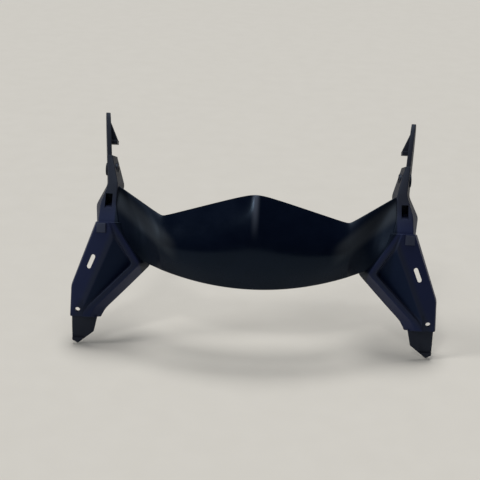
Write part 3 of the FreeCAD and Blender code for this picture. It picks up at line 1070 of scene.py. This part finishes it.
# %% [markdown]
# ## Distances on the face
# One plastic can leave its mould with several finishes, and every border between them here is a
# straight line on the face. So the distance from a line, worked out from the Object coordinates, finds
# each of them. A painted mask would need an unwrapped mesh, and a new painting for each new size.

# %% Lines on the face
BORDER_SOFT = 1.2 * MM

moulding, shader, place = new_material("moulding")
axes = place.node("ShaderNodeSeparateXYZ", Vector=place)
across = abs(place.out(axes, "X"))
up_face = (
    place.out(axes, "Y") * math.sin(RAKE) + place.out(axes, "Z") * math.cos(RAKE) + BORE_V * MM)


def right_of(start, end):
    """Metres to the right of a line on the face: the offset from its start times its normal."""
    run = np.subtract(end, start)
    run = run / np.linalg.norm(run)
    return (across - start[0] * MM) * run[1] - (up_face - start[1] * MM) * run[0]


def eased(distance, soft=BORDER_SOFT):
    """0 well before a border and 1 well past it, with a smooth change over twice `soft`."""
    return place.out(place.node(
        "ShaderNodeMapRange", {"interpolation_type": "SMOOTHSTEP"}, Value=distance,
        From_Min=-soft, From_Max=soft))


print("face coordinates use", len(place.tree.nodes), "nodes")

# %% [markdown]
# ## Where each finish and each painted light lies
# Only the brow is polished. The wings, legs and arms are duller, and the legs and arms have a fine
# grain, except in the sunk triangles, which are painted a darker navy as painted shade. Paler paint
# on the edges round the triangles, down the ridge of the brow and on a band across each wing makes
# painted highlights, and the arms and tabs turn a greyer tint. Each mask is the product of a few
# eased distances, so it stays soft and can be moved by one value.

# %% Masks on the face
EDGE_WIDTH = 5.0 * MM
EDGE_SOFT = 3.0 * MM
BAND_ROOT = (132.0, 27.0)
BAND_END = (80.0, -14.0)
BAND_ABOVE = 10.0 * MM
BAND_BELOW = 4.0 * MM
BAND_SOFT = 4.0 * MM
RIDGE_WIDTH = 2.5 * MM
RIDGE_TOP = 21.0 * MM
RIDGE_SOFT = 24.0 * MM
WING_SOFT = 9.0 * MM

knee = (KNEE_U, KNEE_V)
crotch = (CROTCH_U, CROTCH_V)
ankle = (ANKLE_U, ANKLE_V)
fold = least(right_of((FOLD_U, CROTCH_V), (ROOT_U, LEDGE_V)), across - FOLD_U * MM)
fold = most(fold, across - ROOT_U * MM)
inside = least(right_of(knee, ankle), right_of(ankle, crotch))
inside = least(inside, right_of(crotch, knee))
on_legs = eased(fold)
in_triangle = eased(inside)
grained = on_legs * (1.0 - in_triangle)
# Painted highlight: the edges round the sunk triangles are painted paler, where a rounded crease and rim
# catch the light.
edge_highlight = grained * eased(inside + EDGE_WIDTH, EDGE_SOFT)
# The arms, above the neck, and the tabs, below the foot, turn to a greyer tint.
greyer = eased(up_face - NECK_V * MM, (NECK_V - LEDGE_V) * MM) + eased(FOOT_V * MM - up_face)
greyer = grained * greyer
dull = most(on_legs, eased(across - PANEL_HALF * MM, WING_SOFT))
band = right_of(BAND_END, BAND_ROOT)
# Painted highlight: a paler band across each wing stands in for the sheen of light on the wing's fold.
band_highlight = eased(band + BAND_ABOVE, BAND_SOFT) * (1.0 - eased(band - BAND_BELOW, BAND_SOFT))
band_highlight = band_highlight * eased(across - BAND_END[0] * MM, 2 * BAND_SOFT) * (1.0 - on_legs)
# Painted highlight: a paler line down the ridge of the brow, fading out below, stands in for the ridge's
# shine.
ridge_highlight = eased(RIDGE_WIDTH - across, RIDGE_WIDTH) * eased(up_face - RIDGE_TOP, RIDGE_SOFT)
# The pad is painted paler than the strip round it.
pad_far = most(abs(across - pad_u * MM), abs(up_face - pad_v * MM))
on_pad = eased(PAD_SIZE / 2 * MM - pad_far, BORDER_SOFT / 2)
print("masks use", len(place.tree.nodes), "nodes")

# %% [markdown]
# ## Finishes and painted light on one plastic
# The plastic is one navy, so deep where it is polished that it reads as black, and paler where the
# grain scatters light. Each mask lays one more tint over the last, and noise keeps the finish from
# being too even, as years of handling do. Some tints are painted light: paler paint down the ridge,
# on a band across each wing and on the edges round the triangles makes painted highlights, and a
# darker navy in the sunk triangles makes painted shade. The gloss is weak and bluish and the same all
# over, so it is set on the shader's own sockets. Separate materials for each finish would show hard
# borders.

# %% Moulding material
POLISHED = (0.0012, 0.0028, 0.0090, 1.0)
HANDLED = (0.0024, 0.0046, 0.0130, 1.0)
GRAINED = (0.0125, 0.0160, 0.0500, 1.0)
# Colour of the painted highlight on the edges round the triangles.
EDGE_HIGHLIGHT = (0.0170, 0.0200, 0.0340, 1.0)
# The greyer tint of the arms and tabs.
GREYER = (0.0170, 0.0180, 0.0270, 1.0)
# Colour of the painted shade in the sunk triangles.
SUNK_SHADE = (0.0028, 0.0065, 0.0260, 1.0)
# The paler colour of the pad.
PAD_PALE = (0.0420, 0.0480, 0.0780, 1.0)
# Colour of the painted highlight down the ridge.
RIDGE_HIGHLIGHT = (0.0750, 0.0880, 0.1200, 1.0)
# Colour of the painted highlight on each wing.
BAND_HIGHLIGHT = (0.0240, 0.0280, 0.0350, 1.0)
POLISHED_ROUGH = 0.19
GRAINED_ROUGH = 0.50
WORN_ROUGH = 0.08
WORN_STOPS = ((0.35, 0.0), (0.75, 1.0))
# Least strength of the painted edge highlight, where the patches are lowest.
EDGE_HIGHLIGHT_LEAST = 0.6
GLOSS = 0.20
GLOSS_TINT = (0.52, 0.74, 1.0, 1.0)
PATCHES = {"Scale": 38.0, "Detail": 5.0, "Roughness": 0.6}
GRAIN = {"Scale": 900.0, "Detail": 2.0}
GRAIN_HEIGHT = 0.03 * MM
GRAIN_STRENGTH = 0.5

patches = noise(place, **PATCHES)
worn = place.out(place.node("ShaderNodeValToRGB", {"stops": WORN_STOPS}, Fac=patches))
tint = mixed(worn, POLISHED, HANDLED)
# The sunk triangles are painted a darker navy than the strip: painted shade in the recess.
tint = mixed(on_legs, tint, mixed(in_triangle, GRAINED, SUNK_SHADE))
# Painted highlight on the edges round the triangles, its strength varied by the patches.
tint = mixed(edge_highlight * (EDGE_HIGHLIGHT_LEAST + (1.0 - EDGE_HIGHLIGHT_LEAST) * worn), tint, EDGE_HIGHLIGHT)
tint = mixed(greyer, tint, GREYER)
# Painted highlight: the pale band across each wing.
tint = mixed(band_highlight, tint, BAND_HIGHLIGHT)
tint = mixed(on_pad, tint, PAD_PALE)
# Painted highlight down the ridge of the brow.
tint = mixed(ridge_highlight, tint, RIDGE_HIGHLIGHT)
rough = POLISHED_ROUGH + WORN_ROUGH * worn
rough = rough + (GRAINED_ROUGH - POLISHED_ROUGH) * dull
relief = place.out(place.node(
    "ShaderNodeBump", Strength=GRAIN_STRENGTH, Distance=GRAIN_HEIGHT,
    Height=noise(place, **GRAIN) * grained))
place.feed(shader.inputs["Base Color"], tint)
place.feed(shader.inputs["Roughness"], rough)
place.feed(shader.inputs["Normal"], relief)
place.feed(shader.inputs["Specular IOR Level"], GLOSS)
place.feed(shader.inputs["Specular Tint"], GLOSS_TINT)
print("moulding material has", len(place.tree.nodes), "nodes")

# %% [markdown]
# ## Finishing the skin
# The joined skin is one closed mesh. The cuts leave a few edges too short to see, which are dissolved.
# Faces are shaded smooth, and only edges sharper than a mould's radius stay crisp. The skin then
# stands in for the solid node.

# %% Finish
TINY = 0.001 * MM
CRISP = math.radians(32.0)

work = bmesh.new()
work.from_mesh(skin.data)
bmesh.ops.dissolve_degenerate(work, edges=work.edges, dist=TINY)
bmesh.ops.delete(work, geom=[edge for edge in work.edges if edge.is_wire], context="EDGES")
open_edges = sum(1 for edge in work.edges if not edge.is_manifold)
work.to_mesh(skin.data)
work.free()
skin.data.shade_smooth()
skin.data.set_sharp_from_angle(angle=CRISP)
skin.data.materials.clear()
skin.data.materials.append(moulding)
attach(skin, "root")
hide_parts("headlight_surround")
print("skin has", len(skin.data.polygons), "faces and", open_edges, "open edges")

# %% [markdown]
# ## The floor
# A pale sheet of paper lies under the part and runs on out of sight, so the picture has one plain
# ground from every side. A faint noise between two tints keeps it from looking like an empty screen.

# %% Floor
FLOOR_GAP = 0.5 * MM
FLOOR_SIZE = 40.0
PAPER = (0.64, 0.61, 0.55, 1.0)
PAPER_FLECK = (0.68, 0.65, 0.59, 1.0)
PAPER_ROUGH = 0.9
FLECKS = {"Scale": 30.0, "Detail": 4.0}

floor_z = cad_bounds[0][2] - FLOOR_GAP
square = np.array(((-1, -1), (1, -1), (1, 1), (-1, 1))) * FLOOR_SIZE / 2
floor_points = np.column_stack([square, np.full(len(square), floor_z)])
floor_mesh = bpy.data.meshes.new("floor")
floor_mesh.from_pydata(floor_points.tolist(), [], [range(len(square))])
floor = bpy.data.objects.new("floor", floor_mesh)
bpy.context.scene.collection.objects.link(floor)
paper, paper_shader, paper_place = new_material("paper")
paper_tint = mixed(noise(paper_place, **FLECKS), PAPER, PAPER_FLECK)
paper_place.feed(paper_shader.inputs["Base Color"], paper_tint)
paper_place.feed(paper_shader.inputs["Roughness"], PAPER_ROUGH)
floor_mesh.materials.append(paper)
print("floor at", round(floor_z, 4), "m")

# %% [markdown]
# ## The light
# A wide soft light from above, a smaller one from the left and a weak one from the front show the
# crown, the ridge and the folds. Sun lamps with a wide angle are as soft as studio panels, and unlike
# panels they light the floor evenly as far as it runs. A faint bluish world fills the shadows.

# %% Lamps and world
WORLD_COLOUR = (0.7, 0.82, 1.0, 1.0)
WORLD_STRENGTH = 0.08
LAMP_AIM = Vector((0.0, -0.03, -0.06))
OVERHEAD_AT = (0.0, 0.9, 3.4)
OVERHEAD_POWER = 2.2
OVERHEAD_SPREAD = math.radians(33.0)
KEY_AT = (-2.4, -0.6, 1.3)
KEY_POWER = 0.9
KEY_SPREAD = math.radians(14.5)
FRONT_AT = (-0.46, -1.0, 1.4)
FRONT_POWER = 0.3
FRONT_SPREAD = math.radians(8.0)

world = bpy.data.worlds.new("studio")
world.use_nodes = True
backdrop = world.node_tree.nodes["Background"]
backdrop.inputs["Color"].default_value = WORLD_COLOUR
backdrop.inputs["Strength"].default_value = WORLD_STRENGTH
bpy.context.scene.world = world


def lamp(name, at, power, spread):
    """An even light from the direction of a place in metres, as wide in the sky as `spread`."""
    data = bpy.data.lights.new(name, "SUN")
    data.energy = power
    data.angle = spread
    made = bpy.data.objects.new(name, data)
    made.location = at
    made.rotation_euler = (LAMP_AIM - Vector(at)).to_track_quat("-Z", "Y").to_euler()
    bpy.context.scene.collection.objects.link(made)


lamp("overhead", OVERHEAD_AT, OVERHEAD_POWER, OVERHEAD_SPREAD)
lamp("key", KEY_AT, KEY_POWER, KEY_SPREAD)
lamp("front", FRONT_AT, FRONT_POWER, FRONT_SPREAD)
bpy.context.scene.view_settings.view_transform = "Standard"
print("lit by", len(bpy.data.lights), "lamps")
